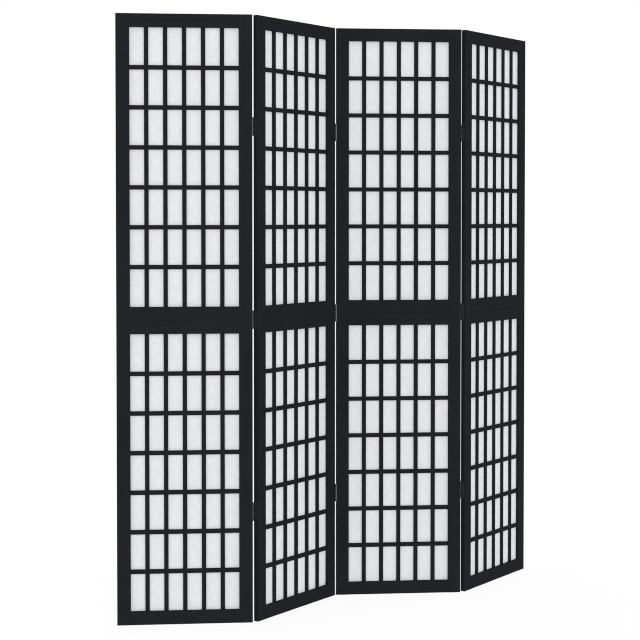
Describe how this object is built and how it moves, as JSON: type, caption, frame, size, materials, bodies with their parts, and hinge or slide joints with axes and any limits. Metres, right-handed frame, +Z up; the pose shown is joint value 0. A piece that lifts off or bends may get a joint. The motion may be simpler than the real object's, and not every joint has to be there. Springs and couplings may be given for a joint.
{
  "type": "shoji folding screen",
  "caption": "Free-standing folding room divider with black slatted panels over off-white paper, joined by butt hinges.",
  "frame": {"origin": "centre of the bounding box on the floor, with the screen standing in its zigzag", "axes": "+X along the row of panels from panel 1 to panel 4, +Y from the front (slatted) side to the back, +Z up"},
  "size_m": [1.4914, 0.18, 1.8],
  "materials": {
    "frame_wood": "matte black lacquer on softwood",
    "lattice_wood": "matte black lacquer on softwood slats",
    "paper": "off-white translucent screen paper",
    "hinge_metal": "satin black coating on pressed steel",
    "screw_metal": "black coated countersunk wood screw",
    "pin_metal": "drawn steel wire"
  },
  "bodies": {
    "panel_1": {"panel_1_left_stile": "frame_wood", "panel_1_right_stile": "frame_wood", "panel_1_top_rail": "frame_wood", "panel_1_upper_middle_rail": "frame_wood", "panel_1_lower_middle_rail": "frame_wood", "panel_1_bottom_rail": "frame_wood", "panel_1_upper_uprights": "lattice_wood", "panel_1_upper_crossbars": "lattice_wood", "panel_1_upper_paper": "paper", "panel_1_lower_uprights": "lattice_wood", "panel_1_lower_crossbars": "lattice_wood", "panel_1_lower_paper": "paper", "panel_1_hinge_leaves": "hinge_metal", "panel_1_hinge_screws": "screw_metal", "panel_1_hinge_pins": "pin_metal"},
    "panel_2": {"panel_2_left_stile": "frame_wood", "panel_2_right_stile": "frame_wood", "panel_2_top_rail": "frame_wood", "panel_2_upper_middle_rail": "frame_wood", "panel_2_lower_middle_rail": "frame_wood", "panel_2_bottom_rail": "frame_wood", "panel_2_upper_uprights": "lattice_wood", "panel_2_upper_crossbars": "lattice_wood", "panel_2_upper_paper": "paper", "panel_2_lower_uprights": "lattice_wood", "panel_2_lower_crossbars": "lattice_wood", "panel_2_lower_paper": "paper", "panel_2_hinge_leaves": "hinge_metal", "panel_2_hinge_screws": "screw_metal", "panel_2_hinge_pins": "pin_metal"},
    "panel_3": {"panel_3_left_stile": "frame_wood", "panel_3_right_stile": "frame_wood", "panel_3_top_rail": "frame_wood", "panel_3_upper_middle_rail": "frame_wood", "panel_3_lower_middle_rail": "frame_wood", "panel_3_bottom_rail": "frame_wood", "panel_3_upper_uprights": "lattice_wood", "panel_3_upper_crossbars": "lattice_wood", "panel_3_upper_paper": "paper", "panel_3_lower_uprights": "lattice_wood", "panel_3_lower_crossbars": "lattice_wood", "panel_3_lower_paper": "paper", "panel_3_hinge_leaves": "hinge_metal", "panel_3_hinge_screws": "screw_metal", "panel_3_hinge_pins": "pin_metal"},
    "panel_4": {"panel_4_left_stile": "frame_wood", "panel_4_right_stile": "frame_wood", "panel_4_top_rail": "frame_wood", "panel_4_upper_middle_rail": "frame_wood", "panel_4_lower_middle_rail": "frame_wood", "panel_4_bottom_rail": "frame_wood", "panel_4_upper_uprights": "lattice_wood", "panel_4_upper_crossbars": "lattice_wood", "panel_4_upper_paper": "paper", "panel_4_lower_uprights": "lattice_wood", "panel_4_lower_crossbars": "lattice_wood", "panel_4_lower_paper": "paper", "panel_4_hinge_leaves": "hinge_metal", "panel_4_hinge_screws": "screw_metal"}
  },
  "joints": [
    {"name": "hinge_1_2", "type": "hinge", "parent": "panel_1", "child": "panel_2", "pos_m": [-0.37406, -0.07472, 0.9], "axis": [0, 0, 1], "range_deg": [-49.3, 130.7]},
    {"name": "hinge_2_3", "type": "hinge", "parent": "panel_2", "child": "panel_3", "pos_m": [0, 0.07472, 0.9], "axis": [0, 0, 1], "range_deg": [-130.7, 49.3]},
    {"name": "hinge_3_4", "type": "hinge", "parent": "panel_3", "child": "panel_4", "pos_m": [0.37406, -0.07472, 0.9], "axis": [0, 0, 1], "range_deg": [-49.3, 130.7]}
  ]
}
